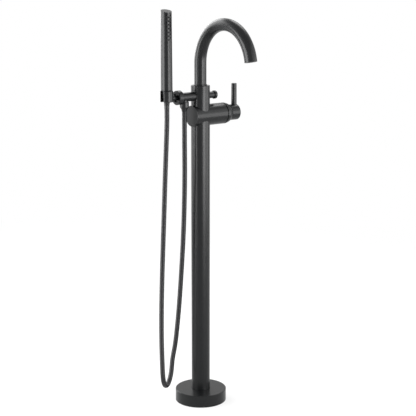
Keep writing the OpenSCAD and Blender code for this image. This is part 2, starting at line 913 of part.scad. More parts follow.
module diverter_knob() {
    e = 2;
    x1 = knob_x + knob_l;
    color(black) on_arm() difference() {
        turned_x([
            [0, knob_x], [knob_r - 0.8, knob_x], [knob_r, knob_x + 0.8], [knob_r, x1 - e],
            [knob_r - 0.13 * e, x1 - 0.47 * e], [knob_r - 0.47 * e, x1 - 0.13 * e],
            [knob_r - e, x1], [0, x1]
        ]);
        rod_x(spindle_r + 0.02, knob_x - 1, x1 - 4.3);
    }
}

// Arm, hose outlet and cradle

module holder_arm() {
    color(black) difference() {
        on_arm() difference() {
            rod_x(arm_r, -knuckle_x, 5 - riser_r);
            rod_x(arm_bore_r, -outlet_x, 0);
            rod_z(riser_r + 0.02, -arm_r - 5, arm_r + 5);
        }
        on_outlet() rod_z(nipple_r + seat_fit, arm_z - arm_r - 1, arm_z - arm_r + 4);
        on_outlet() rod_z(arm_bore_r, arm_z - arm_r, arm_z);
    }
}

module outlet_nipple() {
    color(black) on_outlet() difference() {
        rod_z(nipple_r, nipple_low, arm_z - arm_r + 4);
        rod_z(arm_bore_r, nipple_low - 1, arm_z);
    }
}

module outlet_check_valve() {
    color(plastic) on_outlet() difference() {
        rod_z(arm_bore_r - 0.1, nipple_low + 1, nipple_low + 11);
        for (i = [0:3]) rotate(90 * i) translate([2.9, 0, 0])
            rod_z(1.3, nipple_low, nipple_low + 12);
    }
}

module outlet_washer() {
    color(rubber) on_outlet() ring_z(nipple_r - 0.1, arm_bore_r, nipple_low - 1.6, nipple_low);
}

// The hose's nut at the outlet: a plain round nut that tapers to a slim sleeve on the hose
module outlet_nut() {
    r = outlet_nut_r;
    shoulder = nipple_low - 1.6;
    sleeve_z = (hose_out_z + outlet_nut_cyl) / 2;
    color(black) on_outlet() turned_z([
        [hose_bore / 2, hose_out_z], [hose_r + 0.3, hose_out_z], [hose_r + 1.3, sleeve_z],
        [r, outlet_nut_cyl],
        [r, outlet_nut_top - 0.6], [r - 0.6, outlet_nut_top],
        [nipple_r + seat_fit, outlet_nut_top], [nipple_r + seat_fit, shoulder],
        [hose_bore / 2, shoulder]
    ]);
}

module knuckle() {
    r = knuckle_r;
    e = 1;
    color(black) on_arm() difference() {
        turned_x([
            [0, -knuckle_left], [r - e, -knuckle_left], [r, e - knuckle_left],
            [r, -knuckle_x - e], [r - e, -knuckle_x], [0, -knuckle_x]
        ]);
        rod_x(recess_r, -knuckle_left - 1, -knuckle_x - knuckle_floor);
    }
}

// Half widths of the tapered seat, by height above the cradle's underside
function taper_r(h) = nut_foot_r + (nut_top_r - nut_foot_r) * h / cradle_h;

// A taper that the hose's nut drops into, widened by a wall
module seat_taper(wall) {
    turned_z([
        [0, cradle_z - 1], [taper_r(-1) + wall, cradle_z - 1],
        [taper_r(cradle_h + 1) + wall, cradle_top + 1], [0, cradle_top + 1]
    ]);
}

// The mouth that lets the hose in from the far side
module slot_cut() {
    translate([-cradle_d, -cradle_slot / 2, cradle_z - 2])
        cube([cradle_d, cradle_slot, cradle_h + 4]);
}

module cradle() {
    e = 1.6;
    r = cradle_r;
    color(black) difference() {
        union() {
            on_wand() turned_z([
                [0, cradle_z], [r - e, cradle_z], [r - 0.3 * e, cradle_z + 0.3 * e],
                [r, cradle_z + e], [r, cradle_top - e], [r - 0.3 * e, cradle_top - 0.3 * e],
                [r - e, cradle_top], [0, cradle_top]
            ]);
            on_arm() rod_x(neck_r, -wand_x + r - 4, -knuckle_x - knuckle_floor - 0.02);
            on_arm() rod_x(
                recess_r - 0.1, -knuckle_x - knuckle_floor - flange_ring,
                -knuckle_x - knuckle_floor - 0.02
            );
        }
        on_wand() seat_taper(liner_t + air);
        on_wand() slot_cut();
    }
}

module cradle_liner() {
    color(rubber) on_wand() difference() {
        intersection() {
            seat_taper(liner_t + air - 0.02);
            rod_z(cradle_r, cradle_z + 0.5, cradle_top - 0.2);
        }
        seat_taper(air);
        slot_cut();
    }
}

// Holds the cradle's flange in the knuckle
module knuckle_ring() {
    x0 = -knuckle_x - knuckle_floor - flange_ring;
    color(black) on_arm() ring_x(recess_r - 0.02, neck_r + 0.1, x0 - 1.6, x0 - 0.02);
}

// Hose

// Faces of a closed tube whose rings follow one another; low is the first point's number
function tube_sides(n, sides, low) = [
    for (i = [0:n - 1], k = [0:sides - 1]) each [
        [low + i * sides + k, low + i * sides + (k + 1) % sides, low + (i + 1) * sides + k],
        [low + i * sides + (k + 1) % sides, low + (i + 1) * sides + (k + 1) % sides,
            low + (i + 1) * sides + k]
    ]
];
function tube_faces(n, sides, low) = concat(
    tube_sides(n, sides, low),
    [[for (k = [sides - 1:-1:0]) low + k]],
    [[for (k = [0:sides - 1]) low + n * sides + k]]
);
function flipped(faces) = [for (f = faces) [f[0], f[2], f[1]]];

module hose() {
    sides = 8;
    rings = 2 * rib_n;
    bore_rings = 60;
    function ring_s(i) = hose_length * i / rings;
    crest = [for (i = [0:rings]) each ring_at(
        ring_s(i), i == 0 || i == rings || i % 2 == 1 ? hose_r : hose_r - rib_depth, sides)];
    bore = [for (i = [0:bore_rings]) each ring_at(
        hose_length * i / bore_rings, hose_bore / 2, sides)];
    first = len(crest);
    last = rings * sides;
    last_bore = first + bore_rings * sides;
    ends = [
        for (k = [0:sides - 1]) let (m = (k + 1) % sides) each [
            [k, first + k, m], [m, first + k, first + m],
            [last + k, last + m, last_bore + k], [last + m, last_bore + m, last_bore + k]
        ]
    ];
    color(black) polyhedron(
        points = concat(crest, bore),
        faces = concat(
            tube_sides(rings, sides, 0), flipped(tube_sides(bore_rings, sides, first)), ends
        )
    );
}

// Hand shower

// The hose's tapered nut, which is what the cradle holds
module wand_nut() {
    shoulder = wand_z - wand_thread_l - 1.8;
    straight = cradle_z - 10;
    color(black) on_wand() turned_z([
        [hose_bore / 2, hose_in_z], [hose_r + 0.1, hose_in_z], [hose_r + 0.1, straight],
        [nut_foot_r, cradle_z], [nut_top_r, cradle_top], [nut_top_r, wand_z - 0.1],
        [wand_thread_r + run_fit, wand_z - 0.1], [wand_thread_r + run_fit, shoulder],
        [hose_bore / 2, shoulder]
    ]);
}

module wand_washer() {
    color(rubber) on_wand() ring_z(
        wand_thread_r - 0.1, hose_bore / 2, wand_z - wand_thread_l - 1.8, wand_z - wand_thread_l - 0.1
    );
}

// Outer half width of the hand shower at a height
function wand_r(z) = wand_foot_r + (wand_head_r - wand_foot_r) * (z - wand_z) / wand_l;

// A shell of the hand shower's taper, between two depths under its skin
module wand_shell(depth, wall, z0, z1) {
    turned_z([
        [wand_r(z0) - depth, z0], [wand_r(z1) - depth, z1],
        [wand_r(z1) - depth - wall, z1], [wand_r(z0) - depth - wall, z0]
    ]);
}

// A wedge within an angle each side of the way that the hand shower faces
module facing_wedge(half, z0, z1) {
    far = 2 * wand_foot_r;
    rotate(wand_turn) translate([0, 0, z0]) linear_extrude(z1 - z0) polygon([
        [0, 0], [-far * tan(half), -far], [far * tan(half), -far]
    ]);
}

// The slanted plane of the hand shower's top
module on_slant() {
    translate([0, 0, wand_top]) rotate(wand_turn) rotate([wand_slant, 0, 0]) children();
}

// All that lies above the slanted plane moved by an offset
module above_slant(offset_z) {
    on_slant() translate([-wand_foot_d, -wand_foot_d, offset_z])
        cube([2 * wand_foot_d, 2 * wand_foot_d, wand_foot_d]);
}

module wand_body() {
    color(black) on_wand() difference() {
        union() {
            wand_shell(0, wand_wall, wand_z + 3, wand_top + 5);
            turned_z([
                [wand_thread_r - 3, wand_z], [wand_foot_r - 0.8, wand_z],
                [wand_foot_r, wand_z + 0.8], [wand_foot_r, wand_z + 4],
                [wand_thread_r - 3, wand_z + 4]
            ]);
            ring_z(wand_thread_r, wand_thread_r - 3, wand_z - wand_thread_l, wand_z + 1);
        }
        above_slant(-cap_t);
        intersection() {
            facing_wedge(field_half, field_z - field_h / 2, field_z + field_h / 2);
            rod_z(wand_foot_r + 2, field_z - field_h / 2, field_z + field_h / 2);
        }
    }
}

// Inner waterway: a tube from the thread up to the chamber behind the spray face
module wand_core() {
    chamber_z = field_z - field_h / 2 - 4;
    out_r = wand_head_r - wand_wall - 0.3;
    tube_r = wand_thread_r - 3;
    color(plastic) on_wand() difference() {
        union() {
            rod_z(tube_r - 0.02, wand_z + 1, chamber_z + 1);
            rod_z(out_r, chamber_z, wand_top - 7);
        }
        rod_z(tube_r - 1.6, wand_z, chamber_z + 2);
        rod_z(out_r - 2, chamber_z + 2, wand_top - 9);
        intersection() {
            facing_wedge(field_half - 8, field_z - field_h / 2 + 3, field_z + field_h / 2 - 3);
            rod_z(out_r + 1, field_z - field_h / 2 + 3, field_z + field_h / 2 - 3);
        }
    }
}

module spray_face() {
    gap = 0.15;
    low = field_z - field_h / 2 + gap;
    high = field_z + field_h / 2 - gap;
    color(black) on_wand() difference() {
        intersection() {
            wand_shell(0.1, wand_wall - 0.1, low, high);
            facing_wedge(field_half - 0.6, low, high);
        }
        at_nozzles() translate([0, 0, wand_foot_r - 4]) cylinder(r = nozzle_r + 0.02, h = 8, $fn = 20);
    }
}

// Rows with one nozzle in the middle and with two beside it in turn, which make three columns
module at_nozzles() {
    for (i = [0:nozzle_rows - 1], k = i % 2 == 0 ? [0] : [-1, 1])
        translate([0, 0, field_z + (i - (nozzle_rows - 1) / 2) * nozzle_pitch])
            rotate(wand_turn + nozzle_step * k) rotate([90, 0, 0]) children();
}

module spray_nozzles() {
    color(rubber) on_wand() at_nozzles() translate([0, 0, wand_head_r - wand_wall + 0.2])
        cylinder(r = nozzle_r, h = wand_wall + nozzle_proud - 0.2, $fn = 20);
}

// A slanted lid with the body's own outline, on a plug
module wand_cap() {
    plug_r = wand_head_r - wand_wall - 0.1;
    color(black) on_wand() difference() {
        union() {
            rod_z(plug_r, wand_top - 6.8, wand_top + 5);
            difference() {
                rod_z(wand_head_r - 0.1, wand_top - 9, wand_top + 5);
                on_slant() translate([-wand_foot_d, -wand_foot_d, 0.05 - cap_t - wand_foot_d])
                    cube([2 * wand_foot_d, 2 * wand_foot_d, wand_foot_d]);
            }
        }
        above_slant(0);
    }
}

floor_pad();
base_plate();
base_set_screws();
floor_flange();
flange_seal();
riser_tube();
cold_supply_tube();
hot_supply_tube();
cold_connector();
hot_connector();
inlet_nuts();
inlet_seals();
valve_body();
end_cap();
end_cap_seal();
cartridge_housing();
port_seals();
fixed_disc();
cartridge_nut();
dome_cover();
turning_disc();
stem_carrier();
stem_pin();
lever_stem();
handle_hub();
lever_rod();
hub_set_screw();
collar_nut();
spout_washer();
stop_screw();
spout_tail();
tail_seals();
spout_tube();
foot_ring();
aerator_shell();
aerator_insert();
diverter_bonnet();
diverter_spindle();
diverter_seal();
diverter_spring();
diverter_knob();
holder_arm();
outlet_nipple();
outlet_check_valve();
outlet_washer();
outlet_nut();
knuckle();
cradle();
cradle_liner();
knuckle_ring();
hose();
wand_nut();
wand_washer();
wand_body();
wand_core();
spray_face();
spray_nozzles();
wand_cap();
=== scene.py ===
import math

import bmesh
import bpy
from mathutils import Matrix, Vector


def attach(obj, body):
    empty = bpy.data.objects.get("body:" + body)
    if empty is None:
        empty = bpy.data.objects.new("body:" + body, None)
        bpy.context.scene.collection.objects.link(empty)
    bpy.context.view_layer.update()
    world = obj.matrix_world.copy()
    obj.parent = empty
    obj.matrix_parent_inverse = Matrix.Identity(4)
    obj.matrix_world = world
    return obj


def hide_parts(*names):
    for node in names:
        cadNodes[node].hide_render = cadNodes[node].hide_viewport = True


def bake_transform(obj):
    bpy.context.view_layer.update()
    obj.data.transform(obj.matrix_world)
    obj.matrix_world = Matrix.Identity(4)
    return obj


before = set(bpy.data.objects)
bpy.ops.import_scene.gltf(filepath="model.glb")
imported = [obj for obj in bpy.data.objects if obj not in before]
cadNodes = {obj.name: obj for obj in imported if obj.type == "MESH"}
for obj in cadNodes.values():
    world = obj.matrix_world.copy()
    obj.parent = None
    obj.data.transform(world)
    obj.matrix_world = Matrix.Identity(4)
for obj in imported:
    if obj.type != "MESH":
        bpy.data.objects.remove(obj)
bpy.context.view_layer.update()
scene = bpy.context.scene
print("frame loaded with", len(cadNodes), "nodes")

# The camera stands where the photograph was taken from, for a 416 x 416 frame
cameraValues = {
    "place": (-1.8858, -2.4536, 1.2192),
    "down": 12.22,     # degrees below the horizon
    "turn": -37.92,    # degrees about Z from looking along +Y
    "lens": 100.73,
    "sensor": 36.0,
    "clip": (0.05, 60),
}


def makeCamera(values):
    data = bpy.data.cameras.new("photoCamera")
    data.lens = values["lens"]
    data.sensor_width = values["sensor"]
    data.clip_start, data.clip_end = values["clip"]
    camera = bpy.data.objects.new("photoCamera", data)
    camera.location = values["place"]
    camera.rotation_euler = (math.radians(90 - values["down"]), 0, math.radians(values["turn"]))
    scene.collection.objects.link(camera)
    scene.camera = camera


makeCamera(cameraValues)
print("camera placed")


# Small helpers

def hexToLinear(code):
    # "#RRGGBB" in sRGB to linear colour with full alpha
    levels = [int(code[i:i + 2], 16) / 255 for i in (1, 3, 5)]
    linear = [v / 12.92 if v <= 0.04045 else ((v + 0.055) / 1.055) ** 2.4 for v in levels]
    return (*linear, 1.0)


def addNode(tree, kind, inputs=None, **settings):
    # One node with its settings; an input is a value or another node's output
    node = tree.nodes.new(kind)
    for key, value in settings.items():
        setattr(node, key, value)
    for key, value in (inputs or {}).items():
        if isinstance(value, bpy.types.NodeSocket):
            tree.links.new(value, node.inputs[key])
        else:
            node.inputs[key].default_value = value
    return node


def newMaterial(name):
    material = bpy.data.materials.new(name)
    material.use_nodes = True
    tree = material.node_tree
    tree.nodes.clear()
    shader = addNode(tree, "ShaderNodeBsdfPrincipled")
    addNode(tree, "ShaderNodeOutputMaterial", {"Surface": shader.outputs["BSDF"]})
    return material, tree, shader


def paint(names, material):
    for name in names:
        slots = cadNodes[name].data.materials
        slots.clear()
        slots.append(material)


def linkMesh(name, mesh):
    piece = bpy.data.objects.new(name, mesh)
    scene.collection.objects.link(piece)
    return piece


# Materials: clouds, peel, grain, line, wear and relief are sizes in millimetres

noiseRange = {"From Min": 0.3, "From Max": 0.7}    # most of a noise texture's values lie in here


def mottledColor(tree, place, values):
    # Two near tones in soft clouds; inputs 6 and 7 are a Mix node's two colours
    clouds = addNode(tree, "ShaderNodeTexNoise", {
        "Vector": place, "Scale": 1000 / values["clouds"], "Detail": 3.0})
    return addNode(tree, "ShaderNodeMix", {
        0: clouds.outputs["Fac"], 6: hexToLinear(values["color"]),
        7: hexToLinear(values["mottle"])}, data_type="RGBA").outputs[2]


powderValues = {
    "color": "#0E0F10", "mottle": "#131415", "clouds": 70,
    "roughness": 0.28, "roughnessSpread": 0.04, "ior": 1.30,
    "peel": 1.3, "grain": 0.3, "bump": 0.05, "relief": 0.08,
}


def makePowderCoat(name, values):
    # Epoxy powder baked on brass: an even near-black with a satin gloss, a faint orange peel
    # and a grain that breaks up the highlight, drawn coarser than the real one so that it shows
    material, tree, shader = newMaterial(name)
    place = addNode(tree, "ShaderNodeTexCoord").outputs["Object"]
    peel = addNode(tree, "ShaderNodeTexNoise", {
        "Vector": place, "Scale": 1000 / values["peel"], "Detail": 1.5})
    grain = addNode(tree, "ShaderNodeTexNoise", {
        "Vector": place, "Scale": 1000 / values["grain"], "Detail": 2.0})
    rough = addNode(tree, "ShaderNodeMapRange", {
        "Value": grain.outputs["Fac"], **noiseRange,
        "To Min": values["roughness"] - values["roughnessSpread"],
        "To Max": values["roughness"] + values["roughnessSpread"]})
    height = addNode(tree, "ShaderNodeMath", {
        0: peel.outputs["Fac"], 1: grain.outputs["Fac"]}, operation="ADD")
    bump = addNode(tree, "ShaderNodeBump", {
        "Height": height.outputs[0], "Strength": values["bump"],
        "Distance": values["relief"] / 1000})
    tree.links.new(mottledColor(tree, place, values), shader.inputs["Base Color"])
    tree.links.new(rough.outputs[0], shader.inputs["Roughness"])
    tree.links.new(bump.outputs[0], shader.inputs["Normal"])
    shader.inputs["IOR"].default_value = values["ior"]
    return material


metalValues = {
    "turnedStainless": {"color": "#B9B9B6", "roughness": 0.28, "smoother": 0.06, "rougher": 0.08,
                        "line": 0.18, "stretch": 22.0, "bump": 0.12, "relief": 0.03},
    "machinedBrass": {"color": "#C9A45C", "roughness": 0.3, "smoother": 0.06, "rougher": 0.08,
                      "line": 0.25, "stretch": 22.0, "bump": 0.12, "relief": 0.03},
}


def makeTurnedMetal(name, values):
    # Bare metal off the lathe or the mill: fine tool marks stretch the highlight across them
    material, tree, shader = newMaterial(name)
    place = addNode(tree, "ShaderNodeTexCoord").outputs["Object"]
    drawnOut = addNode(tree, "ShaderNodeMapping", {
        "Vector": place, "Scale": (1.0, 1.0, values["stretch"])})
    marks = addNode(tree, "ShaderNodeTexNoise", {
        "Vector": drawnOut.outputs[0], "Scale": 1000 / values["line"] / values["stretch"],
        "Detail": 3.0})
    rough = addNode(tree, "ShaderNodeMapRange", {
        "Value": marks.outputs["Fac"], **noiseRange,
        "To Min": values["roughness"] - values["smoother"],
        "To Max": values["roughness"] + values["rougher"]})
    bump = addNode(tree, "ShaderNodeBump", {
        "Height": marks.outputs["Fac"], "Strength": values["bump"],
        "Distance": values["relief"] / 1000})
    shader.inputs["Base Color"].default_value = hexToLinear(values["color"])
    shader.inputs["Metallic"].default_value = 1.0
    tree.links.new(rough.outputs[0], shader.inputs["Roughness"])
    tree.links.new(bump.outputs[0], shader.inputs["Normal"])
    return material


mouldedValues = {
    "epdmRubber": {"color": "#1B1B1C", "mottle": "#222223", "clouds": 16, "roughness": 0.72,
                   "ior": 1.50, "gloss": 0.5, "grain": 0.5, "bump": 0.3, "relief": 0.1},
    "siliconeRubber": {"color": "#070708", "mottle": "#0A0A0B", "clouds": 5, "roughness": 0.78,
                       "ior": 1.41, "gloss": 0.15, "grain": 0.6, "bump": 0.1, "relief": 0.1},
    "acetalPlastic": {"color": "#E4E2DB", "mottle": "#DCD9D0", "clouds": 16, "roughness": 0.38,
                      "ior": 1.48, "gloss": 0.5, "grain": 0.8, "bump": 0.05, "relief": 0.1},
    # Black plastic, near-black and nearly without gloss, which also paints the shade of the
    # spout's dark mouth
    "blackAcetalMouthShade": {"color": "#0B0B0C", "mottle": "#101011", "clouds": 16, "roughness": 0.62,
                    "ior": 1.48, "gloss": 0.15, "grain": 0.8, "bump": 0.05, "relief": 0.1},
    "aluminaCeramic": {"color": "#F0ECE2", "mottle": "#E9E4D8", "clouds": 12, "roughness": 0.18,
                       "ior": 1.76, "gloss": 0.5, "grain": 0.3, "bump": 0.02, "relief": 0.1},
}


def makeMoulded(name, values):
    # Moulded or pressed pieces: a dull, slightly mottled skin with the mould's fine grain
    material, tree, shader = newMaterial(name)
    place = addNode(tree, "ShaderNodeTexCoord").outputs["Object"]
    grain = addNode(tree, "ShaderNodeTexNoise", {
        "Vector": place, "Scale": 1000 / values["grain"], "Detail": 2.0})
    bump = addNode(tree, "ShaderNodeBump", {
        "Height": grain.outputs["Fac"], "Strength": values["bump"],
        "Distance": values["relief"] / 1000})
    tree.links.new(mottledColor(tree, place, values), shader.inputs["Base Color"])
    tree.links.new(bump.outputs[0], shader.inputs["Normal"])
    shader.inputs["Roughness"].default_value = values["roughness"]
    shader.inputs["IOR"].default_value = values["ior"]
    shader.inputs["Specular IOR Level"].default_value = values["gloss"]
    return material


sleeveValues = {
    # The groove colour is painted shade, darkest deep in the grooves between the ribs
    "crest": "#1D1D1F", "groove": "#0A0A0B",
    "fullShadeBelow": 0.2, "noShadeAbove": 0.9,    # shares of the rib's height: full painted shade below, none above
    "roughness": 0.32, "smoother": 0.08, "rougher": 0.1, "wear": 2.4,
    "metallic": 0.3, "ior": 1.40,
}


def makePlatedSleeve(name, values):
    # Black-plated wound steel sleeve: the crests keep the plating's tone, and painted shade
    # darkens the grooves between them
    material, tree, shader = newMaterial(name)
    crest = addNode(tree, "ShaderNodeAttribute", attribute_name="crestHeight")
    place = addNode(tree, "ShaderNodeTexCoord").outputs["Object"]
    wear = addNode(tree, "ShaderNodeTexNoise", {
        "Vector": place, "Scale": 1000 / values["wear"], "Detail": 3.0})
    # Painted shade in the grooves, from the rib's height at each point
    grooveShade = addNode(tree, "ShaderNodeMapRange", {
        "Value": crest.outputs["Fac"], "From Min": values["fullShadeBelow"],
        "From Max": values["noShadeAbove"]})
    color = addNode(tree, "ShaderNodeMix", {
        0: grooveShade.outputs[0], 6: hexToLinear(values["groove"]),
        7: hexToLinear(values["crest"])}, data_type="RGBA")
    rough = addNode(tree, "ShaderNodeMapRange", {
        "Value": wear.outputs["Fac"], **noiseRange,
        "To Min": values["roughness"] - values["smoother"],
        "To Max": values["roughness"] + values["rougher"]})
    tree.links.new(color.outputs[2], shader.inputs["Base Color"])
    tree.links.new(rough.outputs[0], shader.inputs["Roughness"])
    shader.inputs["Metallic"].default_value = values["metallic"]
    shader.inputs["IOR"].default_value = values["ior"]
    return material


powderCoat = makePowderCoat("powderCoatedBrass", powderValues)
metals = {name: makeTurnedMetal(name, values) for name, values in metalValues.items()}
moulded = {name: makeMoulded(name, values) for name, values in mouldedValues.items()}
platedSleeve = makePlatedSleeve("blackPlatedSleeve", sleeveValues)
print("materials made")

# The hose hangs from the outlet's nut, round its loop and up to the hand shower's nut.
# Its points are the solid's own route, in metres.
hoseRoute = [
    (-0.0535, 0, 0.817), (-0.0535, 0, 0.802), (-0.0535, 0, 0.786), (-0.053, 0.001, 0.740),
    (-0.0515, 0.002, 0.660), (-0.051, 0.005, 0.570), (-0.051, 0.0105, 0.470),
    (-0.053, 0.018, 0.370), (-0.0545, 0.026, 0.280), (-0.0545, 0.035, 0.220),
    (-0.0538, 0.0426, 0.180), (-0.0545, 0.0495, 0.145), (-0.060, 0.0533, 0.1145),
    (-0.0655, 0.0482, 0.0863), (-0.0814, 0.035, 0.0656), (-0.103, 0.017, 0.058),
    (-0.1246, -0.0012, 0.0656), (-0.140, -0.015, 0.0863), (-0.1457, -0.0198, 0.1145),
    (-0.1463, -0.0195, 0.142), (-0.1453, -0.0164, 0.175), (-0.1417, -0.0103, 0.225),
    (-0.137, -0.005, 0.290), (-0.132, -0.0015, 0.370), (-0.127, -0.0005, 0.460),
    (-0.1215, 0.0005, 0.560), (-0.1168, 0.0008, 0.660), (-0.1123, 0.0005, 0.745),
    (-0.1105, 0, 0.796), (-0.1105, 0, 0.812), (-0.1105, 0, 0.828),
]
hoseValues = {
    "diameter": 0.0134,
    "skinRadius": 0.00667,
    "bore": 0.0086,
    "groove": 0.00065,
    "pitch": 0.0030,       # from rib to rib
    "stepsPerSpan": 40,    # along the route, between two of its points
    "ringsPerRib": 6,
    "sides": 20,
    "rimReach": 0.01,      # from the line's end, to find the open rims there
    "splitHeight": 0.135,  # the run to the hand shower is a piece of its own from here
    "liftFrom": 0.16,      # heights on the hose, in metres
    "liftTo": 0.80,
}


def routeCurve(points, stepsPerSpan):
    # A uniform cubic through the route, as the solid's source makes it
    route = [Vector(p) for p in points]
    padded = [2 * route[0] - route[1]] + route + [2 * route[-1] - route[-2]]
    line = []
    for i in range(len(route) - 1):
        a, b, c, d = padded[i:i + 4]
        for k in range(stepsPerSpan):
            t = k / stepsPerSpan
            line.append(((1 - t) ** 3 * a + (3 * t ** 3 - 6 * t * t + 4) * b
                         + (-3 * t ** 3 + 3 * t * t + 3 * t + 1) * c + t ** 3 * d) / 6)
    return line + [route[-1]]


def lengthOf(line):
    return sum((b - a).length for a, b in zip(line, line[1:]))


def lineObject(name, line):
    data = bpy.data.curves.new(name, "CURVE")
    data.dimensions = "3D"
    spline = data.splines.new("POLY")
    spline.points.add(len(line) - 1)
    for point, place in zip(spline.points, line):
        point.co = (*place, 1)
    return linkMesh(name, data)


def makeRibTree():
    # A ribbed tube along a line, with a bore. The root of a rectified sine gives a round crest
    # and a narrow groove at each rib, which the material finds again as crestHeight to paint
    # shade into the grooves
    tree = bpy.data.node_groups.new("ribbedSleeve", "GeometryNodeTree")
    tree.interface.new_socket("Geometry", in_out="OUTPUT", socket_type="NodeSocketGeometry")
    tree.interface.new_socket("Geometry", in_out="INPUT", socket_type="NodeSocketGeometry")
    for name in ("Ribs", "Rings Per Rib", "Bore Rings", "Sides"):
        tree.interface.new_socket(name, in_out="INPUT", socket_type="NodeSocketInt")
    for name in ("Outer Radius", "Groove", "Bore Radius"):
        tree.interface.new_socket(name, in_out="INPUT", socket_type="NodeSocketFloat")
    tree.interface.new_socket("Material", in_out="INPUT", socket_type="NodeSocketMaterial")
    given = addNode(tree, "NodeGroupInput").outputs
    count = addNode(tree, "ShaderNodeMath", {
        0: given["Ribs"], 1: given["Rings Per Rib"], 2: 1.0}, operation="MULTIPLY_ADD")
    rings = addNode(tree, "GeometryNodeResampleCurve", {
        "Curve": given["Geometry"], "Count": count.outputs[0]}, mode="COUNT")
    boreRings = addNode(tree, "GeometryNodeResampleCurve", {
        "Curve": given["Geometry"], "Count": given["Bore Rings"]}, mode="COUNT")
    turn = addNode(tree, "ShaderNodeMath", {
        0: addNode(tree, "GeometryNodeInputIndex").outputs[0], 1: given["Rings Per Rib"]},
        operation="DIVIDE")
    angle = addNode(tree, "ShaderNodeMath", {0: turn.outputs[0], 1: math.pi},
                    operation="MULTIPLY")
    wave = addNode(tree, "ShaderNodeMath", {0: angle.outputs[0]}, operation="SINE")
    hump = addNode(tree, "ShaderNodeMath", {0: wave.outputs[0]}, operation="ABSOLUTE")
    crest = addNode(tree, "ShaderNodeMath", {0: hump.outputs[0], 1: 0.5}, operation="POWER")
    dip = addNode(tree, "ShaderNodeMath", {0: 1.0, 1: crest.outputs[0]}, operation="SUBTRACT")
    depth = addNode(tree, "ShaderNodeMath", {0: dip.outputs[0], 1: given["Groove"]},
                    operation="MULTIPLY")
    radius = addNode(tree, "ShaderNodeMath", {
        0: given["Outer Radius"], 1: depth.outputs[0]}, operation="SUBTRACT")
    marked = addNode(tree, "GeometryNodeStoreNamedAttribute", {
        "Geometry": rings.outputs[0], "Name": "crestHeight", "Value": crest.outputs[0]},
        data_type="FLOAT", domain="POINT")
    circle = addNode(tree, "GeometryNodeCurvePrimitiveCircle", {
        "Resolution": given["Sides"], "Radius": 1.0})
    skin = addNode(tree, "GeometryNodeCurveToMesh", {
        "Curve": marked.outputs[0], "Profile Curve": circle.outputs[0],
        "Scale": radius.outputs[0]})
    bore = addNode(tree, "GeometryNodeCurveToMesh", {
        "Curve": boreRings.outputs[0], "Profile Curve": circle.outputs[0],
        "Scale": given["Bore Radius"]})
    both = addNode(tree, "GeometryNodeJoinGeometry")
    tree.links.new(bore.outputs[0], both.inputs[0])
    tree.links.new(skin.outputs[0], both.inputs[0])
    real = addNode(tree, "GeometryNodeRealizeInstances", {"Geometry": both.outputs[0]})
    done = addNode(tree, "GeometryNodeSetMaterial", {
        "Geometry": real.outputs[0], "Material": given["Material"]})
    addNode(tree, "NodeGroupOutput", {"Geometry": done.outputs[0]})
    return tree


def setInputs(modifier, values):
    # By the socket's identifier, before the object is first evaluated
    for item in modifier.node_group.interface.items_tree:
        if item.item_type == "SOCKET" and item.in_out == "INPUT" and item.name in values:
            modifier[item.identifier] = values[item.name]


def plainMesh(source, name):
    # The evaluated result as a mesh of its own; the object it came from goes
    depsgraph = bpy.context.evaluated_depsgraph_get()
    mesh = bpy.data.meshes.new_from_object(source.evaluated_get(depsgraph))
    mesh.name = name
    bpy.data.objects.remove(source)
    return linkMesh(name, mesh)


def closeTubeEnds(piece, places, reach):
    # Joins the skin's rim to the bore's at each end, and turns all faces outwards
    work = bmesh.new()
    work.from_mesh(piece.data)
    for place in places:
        rims = [edge for edge in work.edges
                if edge.is_boundary and (edge.verts[0].co - place).length < reach]
        bmesh.ops.bridge_loops(work, edges=rims)
    bmesh.ops.recalc_face_normals(work, faces=work.faces)
    for face in work.faces:
        face.smooth = True
    work.to_mesh(piece.data)
    work.free()


def makeHosePiece(name, line, tree, values):
    source = lineObject(name + "Line", line)
    modifier = source.modifiers.new("ribs", "NODES")
    modifier.node_group = tree
    ribs = round(lengthOf(line) / values["pitch"])
    setInputs(modifier, {
        "Ribs": ribs, "Rings Per Rib": values["ringsPerRib"], "Bore Rings": ribs // 2,
        "Sides": values["sides"], "Outer Radius": values["skinRadius"],
        "Groove": values["groove"], "Bore Radius": values["bore"] / 2,
        "Material": platedSleeve,
    })
    piece = plainMesh(source, name)
    closeTubeEnds(piece, (line[0], line[-1]), values["rimReach"])
    print(name, "has", ribs, "ribs and", len(piece.data.polygons), "faces")
    return piece


hoseLine = routeCurve(hoseRoute, hoseValues["stepsPerSpan"])
lowest = min(range(len(hoseLine)), key=lambda i: hoseLine[i].z)
split = next(i for i in range(lowest, len(hoseLine)) if hoseLine[i].z > hoseValues["splitHeight"])
ribTree = makeRibTree()
loopLine, riseLine = hoseLine[:split + 1], hoseLine[split:]
hoseLoop = makeHosePiece("hoseLoop", loopLine, ribTree, hoseValues)
hoseRise = makeHosePiece("hoseRise", riseLine, ribTree, hoseValues)
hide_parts("hose")
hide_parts("hose")
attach(hoseLoop, "stand")
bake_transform(hoseRise)
print("hose made,", round(lengthOf(hoseLine), 3), "m")

# Spray nozzles: silicone nubs, one in the middle and two beside it in turn
nozzleValues = {
    "axisX": -0.1105,
    "rows": 14,
    "pitch": 0.0048,
    "middleHeight": 1.03935,
    "step": 22.0,          # degrees between columns
    "turn": -10.0,         # degrees that the hand shower is turned in its cradle
    "faceRadius": 0.01450,
    "taper": 0.00441,      # the face narrows by this share of the height
    # half width and height over the face, in millimetres
    "profile": [(2.04, -1.3), (2.04, -0.3), (1.98, 0.1), (1.8, 0.3), (1.45, 0.5), (1.05, 0.68),
                (0.75, 0.7), (0.5, 0.55), (0.42, 0.1)],
    "sides": 14,
}


